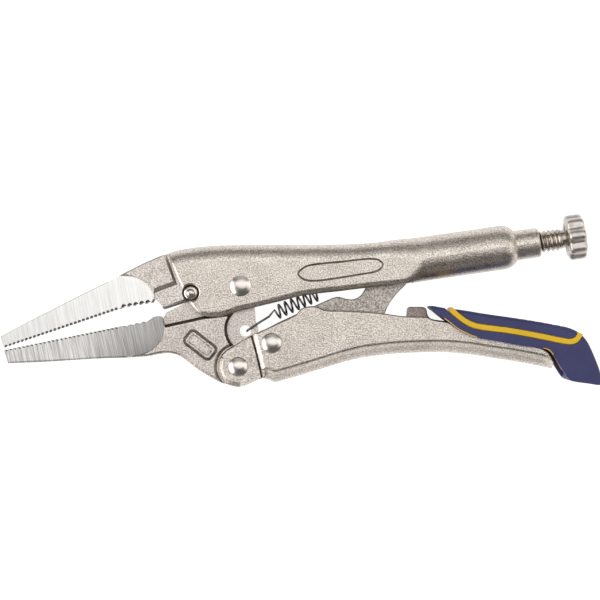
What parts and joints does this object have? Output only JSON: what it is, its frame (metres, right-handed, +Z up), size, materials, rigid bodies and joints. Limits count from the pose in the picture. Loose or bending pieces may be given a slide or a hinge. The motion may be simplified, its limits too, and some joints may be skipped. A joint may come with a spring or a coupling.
{
  "type": "long-nose locking pliers",
  "caption": "Locking pliers with long toothed jaws, a toggle link, an adjusting screw with a fluted knob, and a two-colour grip on the release lever.",
  "frame": {"origin": "centre of the bounding box's bottom face; the tool lies on its side", "axes": "+X from the jaws' tips to the grip, +Y from the lower handle to the upper handle, +Z up through the tool's thickness"},
  "size_m": [0.1654, 0.0477, 0.0144],
  "materials": {
    "upper_handle": "satin nickel plate over fine blasting",
    "upper_jaw": "ground nose, satin behind",
    "jaw_cross_pin": "polished",
    "main_rivet": "polished dome",
    "lower_jaw": "ground nose, satin behind",
    "lower_handle": "satin nickel plate over fine blasting",
    "jaw_rivet": "polished dome",
    "link_rivet": "polished dome",
    "toggle_link": "satin",
    "adjusting_screw": "satin",
    "screw_knob": "satin nickel plate",
    "return_spring": "dark spring wire",
    "release_lever": "dark satin",
    "lever_pin": "satin",
    "grip_core": "satin moulding",
    "grip_sleeve": "soft overmould",
    "grip_pad": "soft overmould"
  },
  "bodies": {
    "upper_body": {"upper_handle": "upper_handle", "upper_jaw": "upper_jaw", "jaw_cross_pin": "jaw_cross_pin", "main_rivet": "main_rivet", "return_spring": "return_spring"},
    "lower_jaw_body": {"lower_jaw": "lower_jaw", "jaw_rivet": "jaw_rivet"},
    "lower_handle_body": {"lower_handle": "lower_handle", "link_rivet": "link_rivet", "lever_pin": "lever_pin"},
    "toggle_body": {"toggle_link": "toggle_link"},
    "lever_body": {"release_lever": "release_lever", "grip_core": "grip_core", "grip_sleeve": "grip_sleeve", "grip_pad": "grip_pad"},
    "screw_body": {"adjusting_screw": "adjusting_screw"},
    "knob_body": {"screw_knob": "screw_knob"}
  },
  "joints": [
    {"name": "jaw_open", "type": "hinge", "parent": "upper_body", "child": "lower_jaw_body", "pos_m": [-0.0163, 0.00385, 0.0072], "axis": [0, 0, 1], "range_deg": [0, 14], "deforming": ["return_spring"]},
    {"name": "handle_swing", "type": "hinge", "parent": "lower_jaw_body", "child": "lower_handle_body", "pos_m": [-0.017, -0.01835, 0.0072], "axis": [0, 0, -1], "range_deg": [0, 66.1]},
    {"name": "link_swing", "type": "hinge", "parent": "lower_handle_body", "child": "toggle_body", "pos_m": [-0.0078, -0.01185, 0.0072], "axis": [0, 0, 1], "range_deg": [0, 69.1]},
    {"name": "lever_press", "type": "hinge", "parent": "lower_handle_body", "child": "lever_body", "pos_m": [0.0377, -0.00835, 0.0072], "axis": [0, 0, -1], "range_deg": [0, 5]},
    {"name": "screw_travel", "type": "slide", "parent": "upper_body", "child": "screw_body", "axis": [0.9898, 0.1426, 0], "range_m": [0, 0.01]},
    {"name": "screw_turn", "type": "hinge", "parent": "screw_body", "child": "knob_body", "pos_m": [0.02636, 0.01025, 0.0072], "axis": [0.9898, 0.1426, 0], "range_deg": [0, 2835]}
  ],
  "couplings": [
    {"joint": "handle_swing", "follows": "jaw_open", "ratio": 4.72},
    {"joint": "link_swing", "follows": "jaw_open", "ratio": 4.93},
    {"joint": "screw_turn", "follows": "screw_travel", "rad_per_m": 4947.4}
  ]
}
